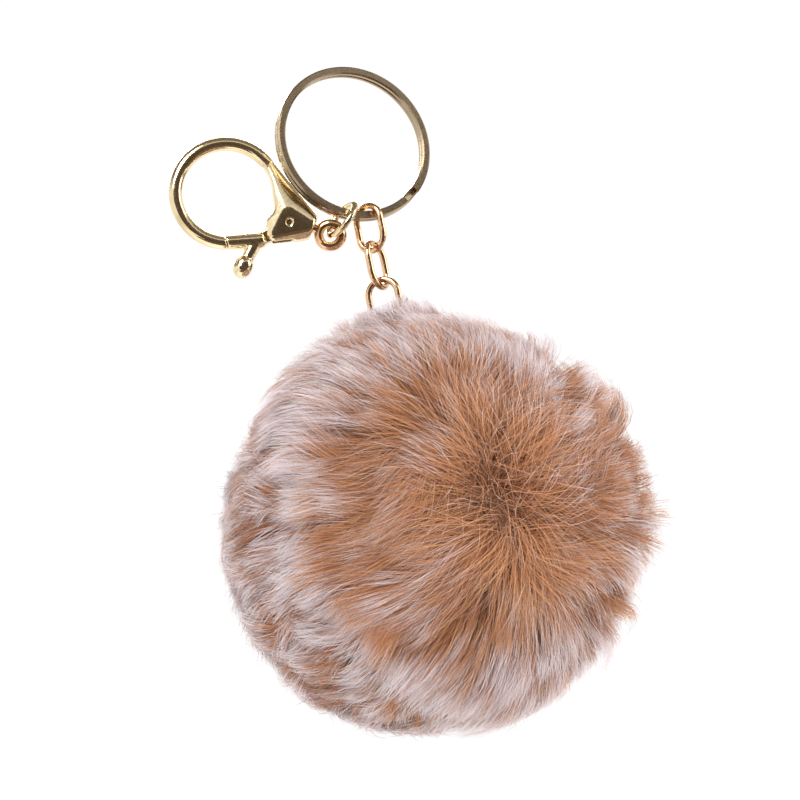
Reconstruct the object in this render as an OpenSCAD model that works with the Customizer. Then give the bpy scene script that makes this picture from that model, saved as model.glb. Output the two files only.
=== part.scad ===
// Plush keychain: a faux-fur ball on a short chain, hung from a flat split key ring that also
// carries a swivel lobster clasp on a jump ring.
//
// Frame: millimetres, +Z up. The origin is the key ring's centre and the ring's axis is Y, with the
// front at -Y. The chain and the ball hang below the ring. The clasp lies up and to the left (-X),
// just behind the ring.

/* [Key ring] */
// Outside diameter of the split ring
ring_od = 32; // [30:0.5:36]
// Thickness of the flat wire, measured across the ring
ring_wall = 1.6; // [1.4:0.1:1.7]
// Height of the two turns together, along the ring's axis
ring_height = 2.4; // [2:0.1:2.5]
// Where the wire crosses from one turn to the other, in degrees from the right-hand side
crossover_at = -44; // [-60:1:-40]
// Length of the crossover along the ring, in degrees
crossover_span = 12; // [10:1:18]

/* [Chain] */
// Thickness of the chain's wire
wire_d = 1.3; // [1.1:0.05:1.35]
// Outside length of a link
link_length = 10.4; // [10:0.1:11]
// Outside width of a link
link_width = 7.3; // [7.2:0.1:8]
// Turn of each link about the vertical, from the top one down, in degrees
link_turns = [-62, 38, -40]; // [-90:1:90]

/* [Jump ring] */
// Outside diameter of the jump ring
jump_od = 8.9; // [8.7:0.1:9.1]
// Thickness of the jump ring's wire
jump_wire_d = 1.3; // [1.1:0.05:1.35]
// Where the jump ring sits on the key ring, in degrees left of the lowest point
jump_at = 17; // [14:1:20]

/* [Clasp] */
// Outside diameter of the clasp's round loop
loop_od = 22.5; // [21:0.5:24]
// Thickness of the loop
loop_thickness = 2.5; // [2.5:0.1:2.7]
// Distance from the swivel eye's centre to the loop's centre
clasp_reach = 21.9; // [21.5:0.1:22.5]
// Rise of the clasp above the horizontal, in degrees
clasp_rise = 32; // [28:1:36]
// Turn of the clasp behind the key ring, in degrees
clasp_turn = 15; // [12:1:20]
// Lean of the clasp's face about its own length, in degrees
clasp_lean = 13; // [8:1:16]
// Outside diameter of the swivel eye
eye_od = 6.4; // [6:0.1:6.5]
// Thickness of the swivel eye
eye_thickness = 2.4; // [2:0.1:2.5]

/* [Fur ball] */
// Diameter of the ball over the body of its fur
ball_d = 77; // [66:1:78]
// Depth of the pile on its backing
pile_depth = 14; // [10:1:18]
// Drop from the key ring's centre to the ball's centre
ball_drop = 79; // [78:0.1:84]
// Thickness of the hanging cord
cord_d = 1.6; // [1.2:0.1:1.7]

/* [Hidden] */
$fn = 64;

bronze_gold = [0.55, 0.42, 0.24];
pale_gold = [0.86, 0.74, 0.48];
rose_gold = [0.80, 0.56, 0.38];
steel = [0.72, 0.72, 0.74];
cord_brown = [0.42, 0.30, 0.22];
backing_tan = [0.66, 0.50, 0.38];
fibre_white = [0.93, 0.92, 0.89];
fur_caramel = [0.78, 0.58, 0.42];

hull_fn = 32;

function unit(v) = v / norm(v);

// Key ring: two flat turns with a hairline between them
ring_r = (ring_od - ring_wall) / 2;
turn_gap = 0.08;
turn_height = (ring_height - turn_gap) / 2;
turn_offset = (turn_height + turn_gap) / 2;
turn_bevel = 0.3;

// Chain: each link's top wire sits in the wire above it, with a little slack
link_half = (link_length - wire_d) / 2;
link_bend_r = (link_width - wire_d) / 2;
link_seat = 0.55;
link_slack = 0.15;
link_pitch = 2 * link_half - wire_d - link_slack;
first_link_z = -(ring_od / 2 - ring_wall) + link_seat + wire_d / 2 - link_half;
last_bend_z = first_link_z - 2 * link_pitch - link_half;

// Jump ring: its plane holds the line from the key ring's wire to the swivel eye, and is as square
// to the key ring as that line allows
jump_r = (jump_od - jump_wire_d) / 2;
jump_shift = 1.28;
jump_wire_at = [-ring_r * sin(jump_at), 0, -ring_r * cos(jump_at)];
ring_tangent = [-cos(jump_at), 0, sin(jump_at)];
to_eye = unit([-0.62, 0.44, -0.65]);
jump_normal = unit(ring_tangent - (ring_tangent * to_eye) * to_eye);
jump_centre = jump_wire_at + jump_shift * to_eye;
eye_centre = jump_centre + jump_r * to_eye;

// Clasp: local X runs from the swivel eye to the loop, local Z faces the front, and the gate is on
// the +Y side
clasp_x = [
    -cos(clasp_rise) * cos(clasp_turn),
    cos(clasp_rise) * sin(clasp_turn),
    sin(clasp_rise)
];
front = [0, -1, 0];
clasp_front = unit(front - (front * clasp_x) * clasp_x);
clasp_side = cross(clasp_front, clasp_x);
clasp_z = cos(clasp_lean) * clasp_front + sin(clasp_lean) * clasp_side;

// Swivel eye: its hole runs along the jump ring's wire
eye_along = cross(jump_normal, to_eye);
eye_z = unit(eye_along - (eye_along * clasp_x) * clasp_x);
eye_hole_r = 1.35;
post_r = 0.9;
post_clearance = 0.05;
head_r = 1.5;
head_x = 5;
head_length = 0.6;
head_clearance = 0.1;
cut_overlap = 0.05;
cut_depth = 10;

// Clasp body and gate
loop_r = (loop_od - loop_thickness) / 2;
neck_x = 3.6;
neck_length = 2;
neck_r = 2.4;
apex = [14.2, 0];
apex_r = 2;
web_at = -118;
web_r = 1.1;
cheek = [10.1, 4.2];
cheek_r = 1.9;
cheek_sweep_r = 5.6;
belly = [9.4, -0.9];
belly_r = 2.9;
pivot = [8.3, 1.2];
slot_width = 1.9;
slot_x = 6.35;
slot_floor = -0.8;
gate_sweep_r = 12.7;
gate_gap = 0.15;
gate_arm_r = 1.55;
gate_elbow = [12.4, 6.4];
gate_tip = [18.8, 9.5];
gate_root_r = 1.7;
gate_root_width = 1.7;
knob_root = [13, 7.7];
knob_root_r = 1.35;
knob_neck_r = 1.15;
knob_ball = [13.4, 12.1];
knob_rise = 0.8;
knob_r = 1.85;
pin_r = 0.6;
pin_clearance = 0.04;
pin_length = 3.9;
spring_wire_d = 0.25;
spring_r = 0.95;
spring_turns = 3;
spring_steps = 12;
spring_pocket_r = 1.3;
spring_pocket_width = 1;
spring_leg_room = 1.2;

// Fur ball: pile on a backing, round a stuffed core, with the cord's loop coming out of the top
ball_r = ball_d / 2;
core_r = ball_r - pile_depth;
backing_thickness = 1;
layer_gap = 0.05;
cord_clearance = 0.25;
cord_bend_r = wire_d / 2 + cord_d / 2 + cord_clearance;
mouth_room = 0.6;
mouth_r = cord_bend_r + cord_d / 2 + mouth_room;
knot_r = 2.6;
knot_depth = 8;
knot_z = -ball_drop + core_r - knot_depth;
thread_d = 0.45;
thread_clearance = 0.05;
cord_turn = link_turns[2] + 90;

// A rectangle with its corners cut at 45 degrees, centred
module bevelled_rect(size, bevel) {
    outer = size / 2;
    inner = outer - [bevel, bevel];
    polygon([
        [outer.x, inner.y], [inner.x, outer.y], [-inner.x, outer.y], [-outer.x, inner.y],
        [-outer.x, -inner.y], [-inner.x, -outer.y], [inner.x, -outer.y], [outer.x, -inner.y]
    ]);
}

// Puts its children in a frame given by an origin and two of its axes
module placed(at, x_dir, z_dir) {
    y_dir = cross(z_dir, x_dir);
    multmatrix([
        [x_dir.x, y_dir.x, z_dir.x, at.x],
        [x_dir.y, y_dir.y, z_dir.y, at.y],
        [x_dir.z, y_dir.z, z_dir.z, at.z],
        [0, 0, 0, 1]
    ])
        children();
}

module in_clasp() {
    placed(eye_centre, clasp_x, clasp_z)
        children();
}

// A round bar bent into a part of a circle, in the XY plane
module bent_bar(bend_r, bar_r, from, to) {
    rotate([0, 0, from])
        rotate_extrude(angle = to - from)
            translate([bend_r, 0])
                circle(bar_r, $fn = hull_fn);
}

// A stretch of one flat turn, in the XY plane, at a height on the ring's axis
module turn_arc(from, span, height) {
    rotate([0, 0, from])
        rotate_extrude(angle = span)
            translate([ring_r, height])
                bevelled_rect([ring_wall, turn_height], turn_bevel);
}

module key_ring() {
    slice = 1;
    color(bronze_gold)
        rotate([90, 0, 0]) {
            for (height = [-turn_offset, turn_offset])
                turn_arc(crossover_at, 360 - crossover_span, height);
            hull() {
                turn_arc(crossover_at, slice, -turn_offset, $fn = hull_fn);
                turn_arc(crossover_at - crossover_span - slice, slice, turn_offset, $fn = hull_fn);
            }
        }
}

module jump_ring() {
    color(pale_gold)
        placed(jump_centre, to_eye, jump_normal)
            rotate_extrude()
                translate([jump_r, 0])
                    circle(jump_wire_d / 2, $fn = hull_fn);
}

// The eye, its post through the clasp's neck, and the post's riveted head
module swivel_eye() {
    eye_r = eye_od / 2;
    bevel = 0.45;
    post_root = 0.8;
    rim_r = eye_r - eye_thickness / 2;
    color(pale_gold)
        placed(eye_centre, clasp_x, eye_z)
            difference() {
                union() {
                    rotate_extrude() {
                        translate([rim_r / 2, 0])
                            square([rim_r, eye_thickness], center = true);
                        intersection() {
                            translate([rim_r, 0])
                                circle(eye_thickness / 2);
                            translate([0, -eye_thickness / 2])
                                square([eye_r, eye_thickness]);
                        }
                    }
                    rotate([0, 90, 0]) {
                        translate([0, 0, eye_r - post_root])
                            cylinder(r = post_r, h = head_x + head_length - eye_r + post_root);
                        translate([0, 0, head_x])
                            cylinder(r = head_r, h = head_length);
                    }
                }
                cylinder(r = eye_hole_r, h = 2 * eye_thickness, center = true);
                for (side = [0, 1])
                    mirror([0, 0, side])
                        translate([0, 0, eye_thickness / 2 - bevel])
                            cylinder(r1 = eye_hole_r, r2 = eye_hole_r + 2 * bevel, h = 2 * bevel);
            }
}

// The clasp's opening: round, and drawn to a blunt point at the funnel
module loop_opening() {
    under_rim = 0.35;
    opening_r = loop_r - loop_thickness / 2 + under_rim;
    hull() {
        translate([clasp_reach, 0, 0])
            cylinder(r = opening_r, h = cut_depth, center = true);
        translate([apex.x, apex.y, 0])
            cylinder(r = apex_r + under_rim, h = cut_depth, center = true);
    }
}

// The loop's round bar. It runs on as a rim along the funnel's side of the opening.
module loop_bar() {
    bar_r = loop_thickness / 2;
    rim_r = apex_r + bar_r;
    lean = acos((loop_r - rim_r) / (clasp_reach - apex.x));
    rim_length = (clasp_reach - apex.x) * sin(lean);
    loop_end = 125;
    difference() {
        translate([clasp_reach, 0, 0])
            bent_bar(loop_r, bar_r, lean - 180, loop_end);
        translate([pivot.x, pivot.y, 0])
            cylinder(r = gate_sweep_r + gate_gap, h = 2 * loop_thickness, center = true);
    }
    translate([apex.x, apex.y, 0]) {
        rotate([0, 0, 180 + lean])
            translate([rim_r, 0, 0])
                rotate([90, 0, 0])
                    cylinder(r = bar_r, h = rim_length, $fn = hull_fn);
        bent_bar(rim_r, bar_r, 180 + lean / 2, 180 + lean);
    }
}

// The funnel between the neck and the loop, which holds the gate's pivot
module funnel() {
    web_end = [
        clasp_reach + loop_r * cos(web_at),
        loop_r * sin(web_at)
    ];
    difference() {
        hull() {
            translate([neck_x, 0, 0])
                rotate([0, 90, 0])
                    cylinder(r = neck_r, h = neck_length, $fn = hull_fn);
            translate([web_end.x, web_end.y, 0])
                sphere(web_r, $fn = hull_fn);
            translate([cheek.x, cheek.y, 0])
                sphere(cheek_r, $fn = hull_fn);
            translate([belly.x, belly.y, 0])
                sphere(belly_r, $fn = hull_fn);
        }
        loop_opening();
    }
}

module clasp_body() {
    slot_end = 18;
    slot_top = 10;
    color(pale_gold)
        in_clasp()
            difference() {
                union() {
                    funnel();
                    loop_bar();
                }
                translate([slot_x, slot_floor, -slot_width / 2])
                    cube([slot_end - slot_x, slot_top, slot_width]);
                translate([pivot.x, pivot.y, 0])
                    cylinder(r = pin_r + pin_clearance, h = cut_depth, center = true);
                rotate([0, 90, 0]) {
                    cylinder(r = post_r + post_clearance, h = head_x);
                    translate([0, 0, head_x - cut_overlap])
                        cylinder(r = head_r + head_clearance, h = slot_x - head_x + 2 * cut_overlap);
                }
            }
}

module clasp_gate() {
    color(pale_gold)
        in_clasp()
            difference() {
                union() {
                    intersection() {
                        hull() {
                            translate([gate_tip.x, gate_tip.y, 0])
                                sphere(loop_thickness / 2, $fn = hull_fn);
                            translate([gate_elbow.x, gate_elbow.y, 0])
                                sphere(gate_arm_r, $fn = hull_fn);
                        }
                        translate([pivot.x, pivot.y, 0])
                            difference() {
                                cylinder(r = gate_sweep_r, h = cut_depth, center = true);
                                cylinder(r = cheek_sweep_r + gate_gap, h = cut_depth + 1, center = true);
                            }
                    }
                    hull() {
                        translate([gate_elbow.x, gate_elbow.y, 0])
                            cylinder(r = gate_arm_r * 0.7, h = gate_root_width, center = true);
                        translate([pivot.x, pivot.y, 0])
                            cylinder(r = gate_root_r, h = gate_root_width, center = true);
                    }
                    hull() {
                        translate([knob_root.x, knob_root.y, 0])
                            sphere(knob_root_r, $fn = hull_fn);
                        translate([knob_ball.x, knob_ball.y, 0])
                            sphere(knob_neck_r, $fn = hull_fn);
                    }
                    hull() {
                        translate([knob_ball.x, knob_ball.y, 0])
                            sphere(knob_r, $fn = hull_fn);
                        translate([knob_ball.x, knob_ball.y + knob_rise, 0])
                            sphere(knob_r, $fn = hull_fn);
                    }
                }
                translate([pivot.x, pivot.y, 0]) {
                    cylinder(r = pin_r + pin_clearance, h = cut_depth, center = true);
                    cylinder(r = spring_pocket_r, h = spring_pocket_width, center = true);
                    translate([-spring_pocket_r, 0, 0])
                        cube([2 * spring_pocket_r, spring_leg_room, spring_pocket_width], center = true);
                }
            }
}

module gate_pin() {
    color(steel)
        in_clasp()
            translate([pivot.x, pivot.y, 0])
                cylinder(r = pin_r, h = pin_length, center = true);
}

// Torsion spring, coiled round the pin inside the gate's root
module gate_spring() {
    steps = spring_turns * spring_steps;
    rise = (spring_pocket_width - 2 * spring_wire_d) / steps;
    function bead_at(i) = [
        spring_r * cos(i * 360 / spring_steps),
        spring_r * sin(i * 360 / spring_steps),
        (i - steps / 2) * rise
    ];
    color(steel)
        in_clasp()
            translate([pivot.x, pivot.y, 0])
                for (i = [0 : steps - 1])
                    hull() {
                        translate(bead_at(i))
                            sphere(d = spring_wire_d, $fn = 8);
                        translate(bead_at(i + 1))
                            sphere(d = spring_wire_d, $fn = 8);
                    }
}

// An upright oval of round bar in the XZ plane, with its centre at the origin
module oval(half, bend_r, bar_r) {
    straight = half - bend_r;
    rotate([90, 0, 0])
        for (end = [0, 1])
            mirror([0, end, 0])
                translate([0, straight, 0])
                    bent_bar(bend_r, bar_r, 0, 180);
    for (side = [-1, 1])
        translate([side * bend_r, 0, 0])
            cylinder(r = bar_r, h = 2 * straight, center = true, $fn = hull_fn);
}

module chain_link(number) {
    color(rose_gold)
        translate([0, 0, first_link_z - (number - 1) * link_pitch])
            rotate([0, 0, link_turns[number - 1]])
                oval(link_half, link_bend_r, wire_d / 2);
}

// A bight of cord through the last link, knotted inside the ball
module hanging_loop() {
    leg = last_bend_z - knot_z;
    color(cord_brown)
        rotate([0, 0, cord_turn]) {
            translate([0, 0, last_bend_z])
                rotate([90, 0, 0])
                    bent_bar(cord_bend_r, cord_d / 2, 0, 180);
            for (side = [-1, 1])
                translate([side * cord_bend_r, 0, knot_z])
                    cylinder(r = cord_d / 2, h = leg, $fn = hull_fn);
            translate([0, 0, knot_z])
                sphere(knot_r);
        }
}

// The draw stitch round the cord, in the mouth of the backing
module gather_thread() {
    stitch_r = mouth_r - thread_d / 2 - thread_clearance;
    color(cord_brown)
        translate([0, 0, -ball_drop + core_r - backing_thickness / 2])
            rotate_extrude()
                translate([stitch_r, 0])
                    circle(d = thread_d, $fn = hull_fn);
}

// A ball at the fur ball's centre with a round well from its top down to a given height
module ball_with_well(r, well_r, well_floor) {
    translate([0, 0, -ball_drop])
        difference() {
            sphere(r);
            translate([0, 0, well_floor])
                cylinder(r = well_r, h = r);
        }
}

module fur_backing() {
    color(backing_tan)
        difference() {
            ball_with_well(core_r, mouth_r, 0);
            translate([0, 0, -ball_drop])
                sphere(core_r - backing_thickness);
        }
}

module stuffing() {
    knot_room = 0.2;
    color(fibre_white)
        ball_with_well(
            core_r - backing_thickness - layer_gap,
            knot_r + knot_room,
            knot_z + ball_drop - knot_r - knot_room
        );
}

module fur_pile() {
    color(fur_caramel)
        difference() {
            ball_with_well(ball_r, mouth_r, 0);
            translate([0, 0, -ball_drop])
                sphere(core_r + layer_gap);
        }
}

key_ring();
jump_ring();
swivel_eye();
clasp_body();
clasp_gate();
gate_pin();
gate_spring();
chain_link(1);  // chain_link_1
chain_link(2);  // chain_link_2
chain_link(3);  // chain_link_3
hanging_loop();
gather_thread();
fur_backing();
stuffing();
fur_pile();
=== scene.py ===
"""Looks for the plush keychain: a faux-fur ball on a chain, a flat split key ring and a lobster clasp.

The CAD parts stay where they are. The clasp's castings get softened copies, the soft parts get built
pieces, and the fur is laid strand by strand as ribbons that grow out of an undercoat.
"""
import math

import bmesh
import bpy
import numpy as np
from mathutils import Matrix, Vector
from mathutils.kdtree import KDTree


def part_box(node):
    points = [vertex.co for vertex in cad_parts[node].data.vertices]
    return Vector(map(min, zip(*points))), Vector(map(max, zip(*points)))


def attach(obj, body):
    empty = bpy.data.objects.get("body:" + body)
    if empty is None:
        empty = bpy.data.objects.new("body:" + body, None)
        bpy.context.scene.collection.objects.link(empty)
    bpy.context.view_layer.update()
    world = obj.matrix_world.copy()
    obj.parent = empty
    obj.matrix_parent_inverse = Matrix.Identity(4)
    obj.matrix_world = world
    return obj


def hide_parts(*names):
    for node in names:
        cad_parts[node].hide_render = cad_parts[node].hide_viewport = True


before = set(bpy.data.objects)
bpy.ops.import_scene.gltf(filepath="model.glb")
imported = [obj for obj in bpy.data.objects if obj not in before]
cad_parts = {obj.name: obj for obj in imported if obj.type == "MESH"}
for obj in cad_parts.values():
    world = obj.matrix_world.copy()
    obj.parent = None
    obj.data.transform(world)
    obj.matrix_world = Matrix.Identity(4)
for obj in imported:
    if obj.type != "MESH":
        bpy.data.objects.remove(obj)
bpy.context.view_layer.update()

MM = 0.001
UP = np.array([0.0, 0.0, 1.0])

# The camera's axes: to the object's right, up, and back towards the camera
VIEW_RIGHT = np.array([0.910, -0.415, 0.0])
VIEW_UP = np.array([-0.1053, -0.2309, 0.967])
VIEW_BACK = np.array([-0.401, -0.880, -0.254])
CAMERA_ROLL = math.radians(11.4)
CAMERA_TARGET = np.array([-1.0, 0.0, -53.1]) * MM
CAMERA_DISTANCE = 0.8
FRAME_WIDTH = 0.155
SENSOR = 36.0

FLOOR_Z = -0.45


def unit(v):
    return v / np.linalg.norm(v, axis=-1, keepdims=True)


def smoothstep(low, high, x):
    t = np.clip((x - low) / (high - low), 0.0, 1.0)
    return t * t * (3.0 - 2.0 * t)


# ---------------------------------------------------------------- materials

def node_material(name):
    material = bpy.data.materials.new(name)
    material.use_nodes = True
    tree = material.node_tree
    tree.nodes.clear()
    output = tree.nodes.new("ShaderNodeOutputMaterial")
    shader = tree.nodes.new("ShaderNodeBsdfPrincipled")
    tree.links.new(shader.outputs["BSDF"], output.inputs["Surface"])
    return material, tree, shader


def object_coordinates(tree):
    return tree.nodes.new("ShaderNodeTexCoord").outputs["Object"]


def stretched(tree, vector, scale):
    mapping = tree.nodes.new("ShaderNodeMapping")
    mapping.inputs["Scale"].default_value = scale
    tree.links.new(vector, mapping.inputs["Vector"])
    return mapping.outputs["Vector"]


def noise(tree, vector, scale, detail=3.0, roughness=0.5):
    node = tree.nodes.new("ShaderNodeTexNoise")
    node.inputs["Scale"].default_value = scale
    node.inputs["Detail"].default_value = detail
    node.inputs["Roughness"].default_value = roughness
    tree.links.new(vector, node.inputs["Vector"])
    return node.outputs["Fac"]


def ramp(tree, value, stops):
    node = tree.nodes.new("ShaderNodeValToRGB")
    elements = node.color_ramp.elements
    while len(elements) < len(stops):
        elements.new(0.5)
    for element, (position, color) in zip(elements, stops):
        element.position = position
        element.color = (*color, 1.0)
    tree.links.new(value, node.inputs["Fac"])
    return node.outputs["Color"]


def remap(tree, value, low, high, to_low, to_high, smooth=False):
    node = tree.nodes.new("ShaderNodeMapRange")
    node.interpolation_type = "SMOOTHSTEP" if smooth else "LINEAR"
    for socket, number in (("From Min", low), ("From Max", high), ("To Min", to_low), ("To Max", to_high)):
        node.inputs[socket].default_value = number
    tree.links.new(value, node.inputs["Value"])
    return node.outputs["Result"]


def mix(tree, factor, a, b, blend="MIX"):
    node = tree.nodes.new("ShaderNodeMix")
    node.data_type = "RGBA"
    node.blend_type = blend
    for socket, value in (("Factor", factor), ("A", a), ("B", b)):
        target = next(s for s in node.inputs if s.name == socket and s.type in (
            ("VALUE",) if socket == "Factor" else ("RGBA",)))
        if isinstance(value, bpy.types.NodeSocket):
            tree.links.new(value, target)
        elif socket == "Factor":
            target.default_value = value
        else:
            target.default_value = (*value, 1.0)
    return next(s for s in node.outputs if s.type == "RGBA")


def math_node(tree, operation, a, b=0.0):
    node = tree.nodes.new("ShaderNodeMath")
    node.operation = operation
    for i, value in enumerate((a, b)):
        if isinstance(value, bpy.types.NodeSocket):
            tree.links.new(value, node.inputs[i])
        else:
            node.inputs[i].default_value = value
    return node.outputs["Value"]


def bump(tree, shader, height, distance, strength=1.0):
    node = tree.nodes.new("ShaderNodeBump")
    node.inputs["Strength"].default_value = strength
    node.inputs["Distance"].default_value = distance
    tree.links.new(height, node.inputs["Height"])
    tree.links.new(node.outputs["Normal"], shader.inputs["Normal"])


# Noise in the plating, in turns per metre, and how deep the rubbing marks are beside the ripples
BLOTCH_SCALE = 260.0
RIPPLE_SCALE = 420.0
MARK_SCALE = 1500.0
MARK_DEPTH = 0.03


def plated_metal(name, bright, dark, roughness, waviness, wear=0.45):
    """Plated metal with uneven colour, a slightly wavy cast or drawn surface and fine rubbing marks.

    waviness is the height of the surface's ripples in metres. wear is how much the marks vary its roughness.
    """
    material, tree, shader = node_material(name)
    place = object_coordinates(tree)
    blotches = noise(tree, place, BLOTCH_SCALE, 4.0, 0.6)
    marks = noise(tree, place, MARK_SCALE, 3.0, 0.6)
    color = ramp(tree, blotches, [(0.25, dark), (0.70, bright)])
    tree.links.new(color, shader.inputs["Base Color"])
    rubbed = remap(tree, marks, 0.3, 0.7, roughness * (1 - wear), roughness * (1 + wear))
    tree.links.new(rubbed, shader.inputs["Roughness"])
    shader.inputs["Metallic"].default_value = 1.0
    ripples = noise(tree, place, RIPPLE_SCALE, 2.0, 0.5)
    height = math_node(tree, "ADD", ripples, math_node(tree, "MULTIPLY", marks, MARK_DEPTH))
    bump(tree, shader, height, waviness, 0.6)
    return material


PALE_GOLD = plated_metal("pale gold plating", (0.93, 0.79, 0.52), (0.82, 0.64, 0.37), 0.12, 0.05 * MM)
BRONZE_GOLD = plated_metal(
    "bronze gold plating", (0.50, 0.39, 0.26), (0.42, 0.32, 0.20), 0.24, 0.004 * MM, wear=0.12)
ROSE_GOLD = plated_metal("rose gold wire", (0.90, 0.62, 0.38), (0.72, 0.43, 0.24), 0.14, 0.04 * MM)
STEEL = plated_metal("plain steel", (0.72, 0.71, 0.69), (0.58, 0.57, 0.55), 0.25, 0.03 * MM)


def fibre_material(name, pale, deep, scale, depth, roughness=0.85):
    """Cloth, thread or wadding: short crossed fibres in two tones, in relief to a depth in metres."""
    material, tree, shader = node_material(name)
    place = object_coordinates(tree)
    stretch = 5.0
    along = noise(tree, stretched(tree, place, (1.0, 1.0, stretch)), scale, 5.0, 0.65)
    across = noise(tree, stretched(tree, place, (stretch, 1.0, 1.0)), scale, 5.0, 0.65)
    fibres = math_node(tree, "MAXIMUM", along, across)
    tree.links.new(ramp(tree, fibres, [(0.35, deep), (0.68, pale)]), shader.inputs["Base Color"])
    shader.inputs["Roughness"].default_value = roughness
    shader.inputs["Sheen Weight"].default_value = 0.4
    bump(tree, shader, fibres, depth, 0.8)
    return material


CORD = fibre_material("twisted cord", (0.30, 0.19, 0.12), (0.13, 0.075, 0.045), 2600.0, 0.1 * MM)
BACKING = fibre_material("knitted backing", (0.52, 0.36, 0.25), (0.34, 0.21, 0.14), 900.0, 0.2 * MM)
WADDING = fibre_material("stuffing fibre", (0.88, 0.87, 0.84), (0.66, 0.65, 0.62), 500.0, 0.4 * MM)
UNDERCOAT = fibre_material("fur undercoat", (0.54, 0.27, 0.14), (0.34, 0.16, 0.08), 700.0, 0.6 * MM)


def fur_material():
    """Caramel fibre with a frosted tip, darker towards the root: partly the fibre's own darker root, partly
    painted shade deep in the pile.

    The mesh carries how far along its strand each point is, how frosted the strand is, and its tone.
    """
    material, tree, shader = node_material("frosted fur")

    def attribute(name):
        node = tree.nodes.new("ShaderNodeAttribute")
        node.attribute_name = name
        return node.outputs["Fac"]

    along, frost, tone = attribute("fur_along"), attribute("fur_frost"), attribute("fur_tone")
    place = object_coordinates(tree)
    patches = noise(tree, place, 120.0, 3.0, 0.6)
    fibre = ramp(tree, tone, [
        (0.0, (0.28, 0.100, 0.042)),
        (0.5, (0.50, 0.205, 0.085)),
        (1.0, (0.74, 0.385, 0.195))
    ])
    patchy = mix(tree, remap(tree, patches, 0.35, 0.7, 0.0, 0.3), fibre, (0.64, 0.37, 0.21))
    pale = ramp(tree, patches, [(0.3, (0.70, 0.60, 0.62)), (0.7, (0.85, 0.78, 0.81))])
    starts = math_node(tree, "SUBTRACT", 1.0, frost)
    past = math_node(tree, "SUBTRACT", along, starts)
    frosted = remap(tree, past, -0.08, 0.14, 0.0, 0.95, smooth=True)
    body = mix(tree, frosted, patchy, pale)
    # Darker towards the root: partly the fibre's own darker root, partly painted shade where the strands
    # shade each other deep in the pile.
    root_tint_and_shade = ramp(tree, along, [
        (0.0, (0.40, 0.29, 0.25)),
        (0.5, (0.82, 0.75, 0.72)),
        (0.8, (1.0, 1.0, 1.0))
    ])
    tree.links.new(mix(tree, 1.0, body, root_tint_and_shade, "MULTIPLY"), shader.inputs["Base Color"])
    shader.inputs["Roughness"].default_value = 0.62
    shader.inputs["Specular IOR Level"].default_value = 0.25
    shader.inputs["Sheen Weight"].default_value = 0.25
    shader.inputs["Sheen Roughness"].default_value = 0.5
    return material


FUR = fur_material()


# ---------------------------------------------------------------- meshes

def add_mesh(name, vertices, faces, material, smooth=True):
    """A mesh object from points in metres in the row frame."""
    mesh = bpy.data.meshes.new(name)
    mesh.from_pydata([tuple(v) for v in vertices], [], [tuple(f) for f in faces])
    mesh.polygons.foreach_set("use_smooth", [smooth] * len(mesh.polygons))
    mesh.materials.append(material)
    obj = bpy.data.objects.new(name, mesh)
    bpy.context.scene.collection.objects.link(obj)
    return obj


def tube(points, radius, sides=12, closed=False, lobes=0, twist=0.0, depth=0.0):
    """Vertices and faces of a round tube along points, with lobes that wind round it if asked."""
    points = np.asarray(points, float)
    count = len(points)
    if closed:
        tangents = unit(np.roll(points, -1, 0) - np.roll(points, 1, 0))
    else:
        tangents = unit(np.gradient(points, axis=0))
    side = unit(np.cross(tangents[0], UP if abs(tangents[0][2]) < 0.9 else np.array([1.0, 0, 0])))
    lengths = np.concatenate([[0], np.cumsum(np.linalg.norm(np.diff(points, axis=0), axis=1))])
    around = np.arange(sides) * 2 * math.pi / sides
    vertices = []
    for i in range(count):
        side = unit(side - (side @ tangents[i]) * tangents[i])
        other = np.cross(tangents[i], side)
        reach = radius * (1.0 + depth * np.cos(lobes * (around - twist * lengths[i])))
        ring = np.outer(reach * np.cos(around), side) + np.outer(reach * np.sin(around), other)
        vertices.append(points[i] + ring)
    vertices = np.concatenate(vertices)
    faces = []
    for i in range(count if closed else count - 1):
        j = (i + 1) % count
        for k in range(sides):
            n = (k + 1) % sides
            faces.append((i * sides + k, i * sides + n, j * sides + n, j * sides + k))
    if not closed:
        faces.append(tuple(reversed(range(sides))))
        faces.append(tuple((count - 1) * sides + k for k in range(sides)))
    return vertices, faces


def softened(node, body, material, voxel, swell, rounds):
    """A copy of a CAD casting with its sharp inner corners eased, as casting and plating leave them.

    It is remeshed in voxels, swelled a little and smoothed. voxel and swell are in millimetres.
    """
    weld_gap = 1e-7
    mesh = bpy.data.meshes.new(node + "_cast")
    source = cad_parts[node].data
    scale = Matrix.Scale(1 / MM, 4)
    cast = bmesh.new()
    cast.from_mesh(source)
    bmesh.ops.remove_doubles(cast, verts=cast.verts, dist=weld_gap)
    cast.transform(scale)
    cast.to_mesh(mesh)
    cast.free()
    obj = bpy.data.objects.new(node + "_cast", mesh)
    bpy.context.scene.collection.objects.link(obj)
    remesh = obj.modifiers.new("even", "REMESH")
    remesh.mode = "VOXEL"
    remesh.voxel_size = voxel
    remesh.adaptivity = 0.0
    plump = obj.modifiers.new("plump", "DISPLACE")
    plump.mid_level = 0.0
    plump.strength = swell
    ease = obj.modifiers.new("ease", "SMOOTH")
    ease.factor = 0.5
    ease.iterations = rounds
    shape = bpy.data.meshes.new_from_object(obj.evaluated_get(bpy.context.evaluated_depsgraph_get()))
    obj.modifiers.clear()
    shape.transform(scale.inverted())
    shape.polygons.foreach_set("use_smooth", [True] * len(shape.polygons))
    shape.materials.clear()
    shape.materials.append(material)
    obj.data = shape
    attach(obj, body)
    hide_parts(node)
    return obj


softened("clasp_body", "clasp", PALE_GOLD, voxel=0.16, swell=0.12, rounds=44)
softened("clasp_gate", "gate", PALE_GOLD, voxel=0.14, swell=0.05, rounds=14)

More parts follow.
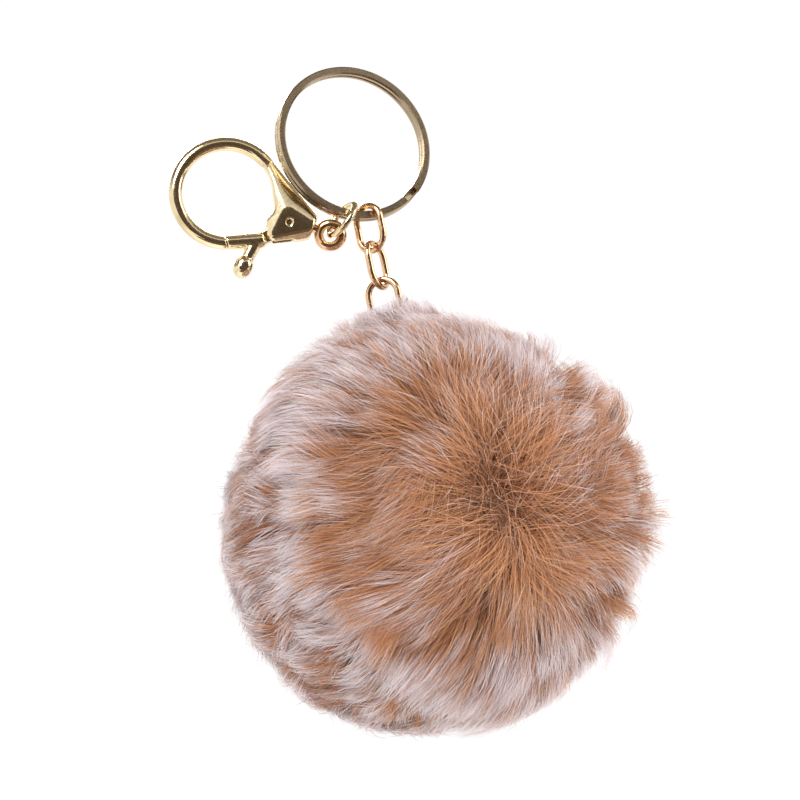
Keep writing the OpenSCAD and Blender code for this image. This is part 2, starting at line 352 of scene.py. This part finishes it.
NODE_MATERIALS = {
    "key_ring": BRONZE_GOLD,
    "jump_ring": PALE_GOLD,
    "swivel_eye": ROSE_GOLD,
    "gate_pin": BRONZE_GOLD,
    "gate_spring": STEEL,
    "chain_link_1": ROSE_GOLD,
    "chain_link_2": ROSE_GOLD,
    "chain_link_3": ROSE_GOLD
}
for node, material in NODE_MATERIALS.items():
    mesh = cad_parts[node].data
    mesh.materials.clear()
    mesh.materials.append(material)


# ---------------------------------------------------------------- inside the ball

pile_low, pile_high = (np.array(v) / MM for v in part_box("fur_pile"))
BALL_R = (pile_high[0] - pile_low[0]) / 2
BALL_CENTRE = np.array([
    (pile_low[0] + pile_high[0]) / 2,
    (pile_low[1] + pile_high[1]) / 2,
    pile_low[2] + BALL_R
])
core_low, core_high = (np.array(v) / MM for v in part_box("fur_backing"))
CORE_R = (core_high[0] - core_low[0]) / 2
cord_low, cord_high = (np.array(v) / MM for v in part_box("hanging_loop"))
thread_low, thread_high = (np.array(v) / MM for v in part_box("gather_thread"))


def waves(points, size, rng, count=14):
    """A smooth random field over points, about -1 to 1, whose bumps are about size across."""
    directions = unit(rng.normal(size=(count, 3)))
    lengths = (2 * math.pi / (2 * size)) * rng.uniform(0.7, 1.3, count)
    phases = rng.uniform(0, 2 * math.pi, count)
    return np.cos(points @ (directions * lengths[:, None]).T + phases).sum(1) * math.sqrt(2 / count) * 0.6


def ball_shell(name, radius_at, material, subdivisions):
    """A closed ball round the fur ball's centre, whose radius varies with direction."""
    shell = bmesh.new()
    bmesh.ops.create_icosphere(shell, subdivisions=subdivisions, radius=1.0)
    directions = unit(np.array([v.co for v in shell.verts]))
    radii = radius_at(directions)
    for vertex, direction, radius in zip(shell.verts, directions, radii):
        vertex.co = Vector((BALL_CENTRE + direction * radius) * MM)
    mesh = bpy.data.meshes.new(name)
    shell.to_mesh(mesh)
    shell.free()
    mesh.polygons.foreach_set("use_smooth", [True] * len(mesh.polygons))
    mesh.materials.append(material)
    obj = bpy.data.objects.new(name, mesh)
    bpy.context.scene.collection.objects.link(obj)
    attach(obj, "ball")
    return obj


def mouth_dip(directions, floor_r, full_r):
    """How far a shell falls towards floor_r near the cord's mouth at the top of the ball."""
    mouth_r = 2.6
    mouth_rim_r = 7.0
    off_axis = full_r * np.hypot(directions[:, 0], directions[:, 1])
    near_top = (directions[:, 2] > 0) * (1 - smoothstep(mouth_r, mouth_rim_r, off_axis))
    return near_top * (full_r - floor_r)


shape_rng = np.random.default_rng(11)


def stuffing_radius(directions):
    stuffing_r = CORE_R - 1.8
    well_r = 12.0
    lump_size, lump_height = 6.0, 0.5
    lumps = waves(directions * CORE_R, lump_size, shape_rng)
    return stuffing_r + lump_height * lumps - mouth_dip(directions, well_r, stuffing_r)


def backing_radius(directions):
    pleat_count, pleat_height = 14, 0.5
    mouth_depth = 4.0
    angle = np.arctan2(directions[:, 1], directions[:, 0])
    near_mouth = smoothstep(0.55, 0.99, directions[:, 2])
    pleats = pleat_height * np.cos(pleat_count * angle) * near_mouth
    return CORE_R - pleat_height + pleats - mouth_dip(directions, CORE_R - mouth_depth, CORE_R)


# The loose pile that shows as strands stands this far out of the matted undercoat
LOOSE_PILE = 6.8
UNDERCOAT_R = BALL_R - LOOSE_PILE


def undercoat_radius(directions):
    lump_height = 0.7
    over_backing = 1.0
    large = waves(directions * UNDERCOAT_R, 4.0, shape_rng)
    small = waves(directions * UNDERCOAT_R, 1.6, shape_rng)
    lumps = large + 0.5 * small
    return UNDERCOAT_R + lump_height * lumps - mouth_dip(directions, CORE_R + over_backing, UNDERCOAT_R)


stuffing = ball_shell("stuffing_ball", stuffing_radius, WADDING, 5)
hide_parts("stuffing")
backing = ball_shell("backing_cloth", backing_radius, BACKING, 6)
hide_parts("fur_backing")
undercoat = ball_shell("fur_undercoat", undercoat_radius, UNDERCOAT, 6)
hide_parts("fur_pile")


def cord_loop():
    """The cord: up one side, over the last link's wire, down the other side, and knotted."""
    cord_r = 0.8
    bend_r = 1.7
    knot_r = 2.6
    # The last link's turn in degrees, as in the CAD, and the rope's radius beside the cord's
    link_turn = -40
    rope_fit = 0.94
    rope = {"lobes": 3, "twist": 1.4, "depth": 0.10}
    turn = math.radians(link_turn + 90)
    across = np.array([math.cos(turn), math.sin(turn), 0.0])
    top = cord_high[2] - bend_r - cord_r
    bottom = cord_low[2] + knot_r
    up_leg = [np.array([0, 0, z]) - across * bend_r for z in np.linspace(bottom, top, 40, endpoint=False)]
    over = [np.array([0, 0, top]) - across * bend_r * math.cos(a) + UP * bend_r * math.sin(a)
            for a in np.linspace(0, math.pi, 24)]
    down_leg = [np.array([0, 0, z]) + across * bend_r for z in np.linspace(top, bottom, 41)[1:]]
    vertices, faces = tube(up_leg + over + down_leg, cord_r * rope_fit, 16, **rope)
    loop = add_mesh("cord_loop", vertices * MM, faces, CORD)
    # An overhand knot's line is a trefoil
    angles = np.linspace(0, 2 * math.pi, 90, endpoint=False)
    knot_scale, knot_stretch, knot_cord_r = 0.62, 1.3, 0.62
    knot_line = np.stack([
        np.sin(angles) + 2 * np.sin(2 * angles),
        np.cos(angles) - 2 * np.cos(2 * angles),
        -np.sin(3 * angles)
    ], axis=1) * knot_scale
    knot_line[:, 2] *= knot_stretch
    vertices, faces = tube(knot_line + np.array([0, 0, bottom]), knot_cord_r, 12, closed=True, **rope)
    knot = add_mesh("cord_knot", vertices * MM, faces, CORD)
    for piece in (loop, knot):
        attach(piece, "ball")
    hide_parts("hanging_loop")


def draw_stitch():
    """The gathering thread: a running stitch round the mouth of the backing."""
    stitches = 10
    stitch_height = 0.25
    half_thread = 0.225
    ply_r = 0.21
    angles = np.linspace(0, 2 * math.pi, 160, endpoint=False)
    stitch_r = (thread_high[0] - thread_low[0]) / 2 - half_thread
    height = (thread_low[2] + thread_high[2]) / 2 + stitch_height * np.sin(stitches * angles)
    line = np.stack([stitch_r * np.cos(angles), stitch_r * np.sin(angles), height], axis=1)
    vertices, faces = tube(line, ply_r, 8, closed=True, lobes=2, twist=5.0, depth=0.12)
    thread = add_mesh("draw_stitch", vertices * MM, faces, CORD)
    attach(thread, "ball")
    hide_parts("gather_thread")


cord_loop()
draw_stitch()


# ---------------------------------------------------------------- fur

STRANDS = 140000
TUFTS = 2100
CLUMPS = 6500
SEGMENTS = 5
SECTORS = 8

# Lengths in millimetres. Roots start inside the undercoat, and a strand tapers along its length.
ROOT_DEPTH = 2.5
ROOT_R = UNDERCOAT_R - ROOT_DEPTH
STRAND_W = 0.11
WIDTHS = np.array([1.0, 1.0, 0.92, 0.76, 0.5, 0.0])
TIPS_PROUD = 1.7
LAYER_STEP = 5.6
LAYER_REGAIN = 5.0
LAYER_LIP = 0.9
COLLAR_RISE = 3.8

# How far the fur leans over, and how far from the front whorl its second layer starts
FUR_LEAN = math.radians(30)
LOBE_EDGE = math.radians(50)

# The fur parts at a whorl that faces the camera's upper right, and again at the back
FRONT_WHORL = unit(18.2 * VIEW_RIGHT + 7.2 * VIEW_UP + 32.6 * VIEW_BACK)
BACK_WHORL = unit(-FRONT_WHORL + 0.25 * VIEW_UP)
# The fur parts along a short line that runs down through the front whorl
PARTING = [unit(x * VIEW_RIGHT + y * VIEW_UP + z * VIEW_BACK) for x, y, z in (
    (0.30, 0.40, 0.87), (0.36, 0.28, 0.89), (0.42, 0.16, 0.89), (0.46, 0.04, 0.89), (0.48, -0.08, 0.87))]

fur_rng = np.random.default_rng(7)


def even_directions(count, rng, jitter):
    """Directions spread evenly over a ball, each moved a little at random."""
    i = np.arange(count) + 0.5
    z = 1 - 2 * i / count
    turn = i * math.pi * (3 - math.sqrt(5))
    ring = np.sqrt(1 - z * z)
    spread = np.stack([ring * np.cos(turn), ring * np.sin(turn), z], axis=1)
    return unit(spread + rng.normal(size=spread.shape) * jitter / math.sqrt(count))


def away_from(pole, directions):
    """The direction along the ball, at each place, that leads straight away from a pole."""
    return unit(directions * (directions @ pole)[:, None] - pole + 1e-6)


def comb(directions, rng):
    """How the fur lies at each place.

    Gives its flow along the ball, how far it leans, its tips' radius, its distance from the parting, and
    how deep it stands in the shade of the layer above.
    """
    from_front = np.arccos(np.clip(directions @ FRONT_WHORL, -1, 1))
    flow = np.zeros_like(directions)
    from_parting = np.full(len(directions), math.pi)
    for pole in PARTING:
        angle = np.arccos(np.clip(directions @ pole, -1, 1))
        flow += away_from(pole, directions) / (angle ** 2 + 0.02)[:, None]
        from_parting = np.minimum(from_parting, angle)
    behind = smoothstep(math.radians(118), math.radians(140), from_front)
    to_back = behind[:, None] * away_from(BACK_WHORL, directions)
    flow = unit((1 - behind)[:, None] * unit(flow) + to_back + 1e-6)
    swirl = 0.38 * waves(directions * BALL_R, 11.0, rng) + 0.30 * waves(directions * BALL_R, 4.0, rng)
    swirl += 1.5 * (1 - smoothstep(0.0, 0.42, from_parting)) * waves(directions * BALL_R, 3.5, rng)
    across = np.cross(directions, flow)
    flow = unit(flow * np.cos(swirl)[:, None] + across * np.sin(swirl)[:, None])
    from_back = np.arccos(np.clip(directions @ BACK_WHORL, -1, 1))
    lean = FUR_LEAN * smoothstep(-0.3, 0.5, from_back)
    lean *= (1 - 0.6 * np.exp(-((behind - 0.5) / 0.25) ** 2))
    lean *= 1 + 0.22 * waves(directions * BALL_R, 5.0, rng)
    to_left = directions @ unit(-VIEW_RIGHT - 0.35 * VIEW_UP)
    layered = smoothstep(0.0, 0.35, to_left)
    second = layered * smoothstep(LOBE_EDGE - 0.03, LOBE_EDGE + 0.03, from_front)
    recovered = smoothstep(LOBE_EDGE + 0.05, LOBE_EDGE + 0.80, from_front)
    at_edge = layered * np.exp(-((from_front - LOBE_EDGE + 0.10) / 0.14) ** 2)
    tip_r = BALL_R + TIPS_PROUD + LAYER_LIP * at_edge - second * (LAYER_STEP - LAYER_REGAIN * recovered)
    lean *= 1 - 0.3 * layered * smoothstep(LOBE_EDGE - 0.3, LOBE_EDGE, from_front) * (1 - second)
    collar = smoothstep(0.88, 0.97, directions[:, 2])
    tip_r += COLLAR_RISE * collar
    lean *= 1 - 0.7 * collar
    return flow, lean, tip_r, from_parting, second * (1 - recovered)


def nearest(places, directions):
    """Which of the places each direction is nearest to."""
    tree = KDTree(len(places))
    for i, place in enumerate(places):
        tree.insert(place, i)
    tree.balance()
    return np.array([tree.find(direction)[1] for direction in directions])


def grow_fur():
    """Every strand's centre line, in millimetres, with its frosting and tone.

    Strands gather into clumps, and clumps into tufts whose tips stand a little apart. Names that end in _t
    hold a value for each tuft, and those that end in _c one for each clump.
    """
    tuft_at = even_directions(TUFTS, fur_rng, 2.6)
    flow_t, lean_t, tip_t, parting_t, shade_t = comb(tuft_at, fur_rng)
    lean_t = lean_t * fur_rng.uniform(0.80, 1.14, TUFTS)
    tip_at = tuft_at * np.cos(lean_t)[:, None] + flow_t * np.sin(lean_t)[:, None]
    x, y = tip_at @ VIEW_RIGHT, tip_at @ VIEW_UP
    to_right = smoothstep(0.35, 0.75, x) * (1 - smoothstep(0.35, 0.75, np.abs(y)))
    ragged = smoothstep(0.45, 0.8, x)
    tip_t = tip_t + fur_rng.normal(0.2, 1.0, TUFTS) * (0.7 + 1.4 * ragged)
    lean_t = lean_t * (1 - 0.35 * ragged * fur_rng.random(TUFTS))
    rim = smoothstep(0.58, 0.90, np.hypot(x, y)) * (1 - 0.75 * to_right)
    in_parting = 1 - smoothstep(0.0, 0.3, parting_t)
    collar = smoothstep(0.80, 0.97, tuft_at[:, 2])
    frost_t = 0.115 + 0.255 * rim - 0.05 * in_parting + (0.09 - 0.04 * rim) * fur_rng.normal(0, 1.0, TUFTS)
    # Where the fur lies in the shade of the layer above, its tone is darkened and its tips are frosted
    # further to grey them: painted shade.
    frost_t += 0.06 * waves(tuft_at * BALL_R, 6.0, fur_rng) + 0.10 * shade_t + 0.22 * collar
    tone_t = 0.50 + fur_rng.normal(0, 0.15, TUFTS) - 0.22 * shade_t + 0.22 * in_parting

    clump_at = even_directions(CLUMPS, fur_rng, 1.8)
    tuft = nearest(tuft_at, unit(clump_at + fur_rng.normal(size=clump_at.shape) * 0.015))
    flow_c = unit(flow_t[tuft] + fur_rng.normal(0, 0.16, (CLUMPS, 3)))
    flow_c = unit(flow_c - (flow_c * clump_at).sum(1)[:, None] * clump_at)
    lean_c = lean_t[tuft] * fur_rng.uniform(0.90, 1.08, CLUMPS)
    tip_c = tip_t[tuft] + fur_rng.normal(0, 0.45, CLUMPS)
    frost_c = frost_t[tuft] + fur_rng.normal(0, 0.09, CLUMPS)

    roots = even_directions(STRANDS, fur_rng, 1.2)
    own = nearest(clump_at, unit(roots + fur_rng.normal(size=roots.shape) * 0.010))

    s = np.linspace(0, 1, SEGMENTS + 1)
    rise = 1 - (1 - s) ** 2.0
    bend = s ** 1.35
    gather = s ** 1.4

    def lines(directions, flow, lean, tip_r):
        angle = lean[:, None] * bend
        radius = ROOT_R + (tip_r[:, None] - ROOT_R) * rise
        outward, sideways = np.cos(angle)[..., None], np.sin(angle)[..., None]
        return radius[..., None] * (directions[:, None] * outward + flow[:, None] * sideways)

    def drawn(paths, towards, pull):
        return paths + (towards - paths) * pull[:, None, None] * gather[None, :, None]

    tufts = lines(tuft_at, flow_t, lean_t, tip_t)[tuft]
    clumps = drawn(lines(clump_at, flow_c, lean_c, tip_c), tufts, fur_rng.uniform(0.35, 0.75, CLUMPS))
    loose = 0.10 + 0.75 * (1 - smoothstep(0.0, 0.35, parting_t[tuft[own]]))
    flow = flow_c[own] + fur_rng.normal(0, 1.0, (STRANDS, 3)) * loose[:, None]
    flow = unit(flow - (flow * roots).sum(1)[:, None] * roots)
    lean = lean_c[own] * fur_rng.uniform(0.84, 1.12, STRANDS)
    tip_r = tip_c[own] + fur_rng.normal(0, 0.5, STRANDS)
    paths = drawn(lines(roots, flow, lean, tip_r), clumps[own], fur_rng.uniform(0.15, 0.80, STRANDS))
    side = unit(np.cross(roots, flow))
    reach = fur_rng.normal(0, 0.36, STRANDS)[:, None]
    bends = fur_rng.uniform(0.7, 1.9, (STRANDS, 1))
    wander = reach * np.sin(math.pi * s * bends)
    paths = paths + wander[..., None] * side[:, None]
    stray_share, stray_reach = 0.04, 0.05
    stray = fur_rng.random(STRANDS) < stray_share
    paths[stray] *= 1 + stray_reach * s[None, :, None] ** 2 * fur_rng.uniform(0.3, 1.0, (stray.sum(), 1, 1))

    paths = keep_off_chain(paths + BALL_CENTRE)
    frost = np.clip(frost_c[own] + fur_rng.normal(0, 0.07, STRANDS), 0.0, 0.75)
    tone = np.clip(tone_t[tuft[own]] + fur_rng.normal(0, 0.22, STRANDS), 0.0, 1.0)
    return paths, frost, tone


def keep_off_chain(paths):
    """Moves fur at the ball's top outwards, so that it stands round the last link and the cord."""
    clear_r = 4.6
    below_link = 1.5
    starts_above_centre = 18
    link_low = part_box("chain_link_3")[0][2] / MM - below_link
    off_axis = np.hypot(paths[..., 0], paths[..., 1])
    top = smoothstep(BALL_CENTRE[2] + starts_above_centre, link_low, paths[..., 2])
    wanted = np.maximum(off_axis, clear_r * top)
    scale = wanted / np.maximum(off_axis, 0.05)
    moved = paths.copy()
    moved[..., 0] *= scale
    moved[..., 1] *= scale
    return moved


def ribbon_mesh(name, paths, frost, tone):
    """One piece of fur: a tapered ribbon along each path, its flat side turned roughly outwards."""
    count = len(paths)
    tangents = unit(np.gradient(paths, axis=1))
    outward = unit(paths - BALL_CENTRE)
    side = unit(np.cross(tangents, outward))
    other = np.cross(tangents, side)
    roll = fur_rng.uniform(-0.9, 0.9, (count, 1, 1))
    side = side * np.cos(roll) + other * np.sin(roll)
    half = STRAND_W / 2 * WIDTHS[None, :, None] * fur_rng.uniform(0.7, 1.25, (count, 1, 1))
    left, right = paths - side * half, paths + side * half
    edges = np.stack([left, right], axis=2)[:, :-1].reshape(count, -1, 3)
    points = np.concatenate([edges, paths[:, -1:]], axis=1)
    per_strand = points.shape[1]
    base = (np.arange(count) * per_strand)[:, None]
    quads = np.concatenate([[2 * k, 2 * k + 1, 2 * k + 3, 2 * k + 2] for k in range(SEGMENTS - 1)])
    tip = [per_strand - 3, per_strand - 2, per_strand - 1]
    corners = np.concatenate([base + quads, base + np.array(tip)], axis=1)
    sizes = np.tile([4] * (SEGMENTS - 1) + [3], count)

    mesh = bpy.data.meshes.new(name)
    mesh.vertices.add(count * per_strand)
    mesh.vertices.foreach_set("co", (points * MM).astype(np.float32).ravel())
    mesh.loops.add(corners.size)
    mesh.loops.foreach_set("vertex_index", corners.astype(np.int32).ravel())
    mesh.polygons.add(len(sizes))
    mesh.polygons.foreach_set("loop_start", np.concatenate([[0], np.cumsum(sizes)[:-1]]).astype(np.int32))
    mesh.update(calc_edges=True)
    mesh.polygons.foreach_set("use_smooth", np.ones(len(sizes), bool))

    s = np.linspace(0, 1, SEGMENTS + 1)
    along = np.concatenate([np.repeat(s[:-1], 2), s[-1:]])
    values = {
        "fur_along": np.tile(along, count),
        "fur_frost": np.repeat(frost, per_strand),
        "fur_tone": np.repeat(tone, per_strand)
    }
    for key, value in values.items():
        mesh.attributes.new(key, "FLOAT", "POINT").data.foreach_set("value", value.astype(np.float32))

    # Each strand gets its own cell of the UV map
    cells = math.ceil(math.sqrt(count))
    column, row = np.arange(count) % cells, np.arange(count) // cells
    u = column[:, None] + 0.5 + 0.3 * np.concatenate([np.tile([-1.0, 1.0], SEGMENTS), [0.0]])
    v = row[:, None] + 0.08 + 0.84 * along
    place = (np.stack([u, v], axis=2) / cells).reshape(-1, 2)
    layer = mesh.uv_layers.new(name="OFBake")
    layer.data.foreach_set("uv", place[corners.ravel()].astype(np.float32).ravel())
    mesh.materials.append(FUR)
    obj = bpy.data.objects.new(name, mesh)
    bpy.context.scene.collection.objects.link(obj)
    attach(obj, "ball")
    return obj


def lay_fur():
    paths, frost, tone = grow_fur()
    turn = np.arctan2(paths[:, 0, 1] - BALL_CENTRE[1], paths[:, 0, 0] - BALL_CENTRE[0])
    for number, members in enumerate(np.array_split(np.argsort(turn, kind="stable"), SECTORS), 1):
        ribbon_mesh(f"fur_sector_{number}", paths[members], frost[members], tone[members])


lay_fur()


# ---------------------------------------------------------------- studio

def floor():
    """A plain pale floor that glows a little, so that it stays pale out to the horizon."""
    reach = 6.0
    corners = [(-reach, -reach), (reach, -reach), (reach, reach), (-reach, reach)]
    vertices = [(x, y, FLOOR_Z) for x, y in corners]
    material, tree, shader = node_material("pale floor")
    shader.inputs["Base Color"].default_value = (0.82, 0.82, 0.81, 1.0)
    shader.inputs["Roughness"].default_value = 0.9
    shader.inputs["Emission Color"].default_value = (1.0, 0.99, 0.98, 1.0)
    shader.inputs["Emission Strength"].default_value = 0.48
    add_mesh("floor", vertices, [(0, 1, 2, 3)], material, smooth=False)


def sky():
    """White all round at eye level, and darker overhead, so that the metal has something to reflect."""
    world = bpy.data.worlds.new("studio")
    bpy.context.scene.world = world
    world.use_nodes = True
    tree = world.node_tree
    tree.nodes.clear()
    output = tree.nodes.new("ShaderNodeOutputWorld")
    background = tree.nodes.new("ShaderNodeBackground")
    tree.links.new(background.outputs["Background"], output.inputs["Surface"])
    direction = tree.nodes.new("ShaderNodeTexCoord").outputs["Generated"]
    split = tree.nodes.new("ShaderNodeSeparateXYZ")
    tree.links.new(direction, split.inputs["Vector"])
    height = remap(tree, split.outputs["Z"], -1.0, 1.0, 0.0, 1.0)
    below, white, overhead = (0.70, 0.69, 0.68), (1.03, 1.03, 1.03), (0.22, 0.19, 0.16)
    color = ramp(tree, height, [(0.40, below), (0.47, white), (0.70, white), (0.84, overhead)])
    tree.links.new(color, background.inputs["Color"])
    background.inputs["Strength"].default_value = 1.0


def softbox(name, place, size, power, color=(1.0, 1.0, 1.0)):
    """A soft rectangular light of some watts, aimed at the middle of the keychain."""
    aim_at = Vector((0.0, 0.0, -0.05))
    light = bpy.data.lights.new(name, "AREA")
    light.shape = "RECTANGLE"
    light.size, light.size_y = size
    light.energy = power
    light.color = color
    obj = bpy.data.objects.new(name, light)
    obj.location = place
    aim = aim_at - Vector(place)
    obj.rotation_euler = aim.to_track_quat("-Z", "Y").to_euler()
    bpy.context.scene.collection.objects.link(obj)


def card(name, corner, across, up, color):
    """A dark board that only shows in reflections, which keeps the metal from mirroring a white room."""
    corner, across, up = (np.array(v) for v in (corner, across, up))
    material, tree, shader = node_material(name)
    shader.inputs["Base Color"].default_value = (*color, 1.0)
    shader.inputs["Roughness"].default_value = 0.9
    vertices = [corner, corner + across, corner + across + up, corner + up]
    board = add_mesh(name, vertices, [(0, 1, 2, 3)], material)
    for ray in ("camera", "diffuse", "shadow", "transmission"):
        setattr(board, "visible_" + ray, False)


def camera():
    """The camera at the photograph's angle, rolled so that the keychain hangs as it does there."""
    right = math.cos(CAMERA_ROLL) * VIEW_RIGHT - math.sin(CAMERA_ROLL) * VIEW_UP
    up = math.sin(CAMERA_ROLL) * VIEW_RIGHT + math.cos(CAMERA_ROLL) * VIEW_UP
    data = bpy.data.cameras.new("camera")
    data.sensor_width = SENSOR
    data.lens = SENSOR * CAMERA_DISTANCE / FRAME_WIDTH
    data.clip_start, data.clip_end = 0.01, 50.0
    obj = bpy.data.objects.new("camera", data)
    place = CAMERA_TARGET + CAMERA_DISTANCE * unit(VIEW_BACK)
    axes = Matrix([[right[i], up[i], VIEW_BACK[i], place[i]] for i in range(3)] + [[0, 0, 0, 1]])
    obj.matrix_world = axes
    bpy.context.scene.collection.objects.link(obj)
    bpy.context.scene.camera = obj


floor()
sky()
softbox("key light", (-0.55, -0.55, 0.55), (0.45, 0.45), 7.0)
softbox("fill light", (0.7, -0.5, 0.10), (0.5, 0.7), 3.0, (1.0, 0.97, 0.94))
softbox("back light", (0.25, 0.7, 0.45), (0.5, 0.3), 4.0)
card("front board", (-1.1, -0.8, -0.44), (2.2, 0.0, 0.0), (0.0, 0.0, 0.80), (0.05, 0.035, 0.025))
card("low board", (-0.6, -0.8, -0.40), (1.2, 0.0, 0.0), (0.0, 0.66, 0.0), (0.10, 0.07, 0.05))
card("side board", (1.1, -0.7, -0.44), (0.0, 1.0, 0.0), (0.0, 0.0, 0.55), (0.08, 0.055, 0.04))
camera()
bpy.context.scene.view_settings.view_transform = "Standard"
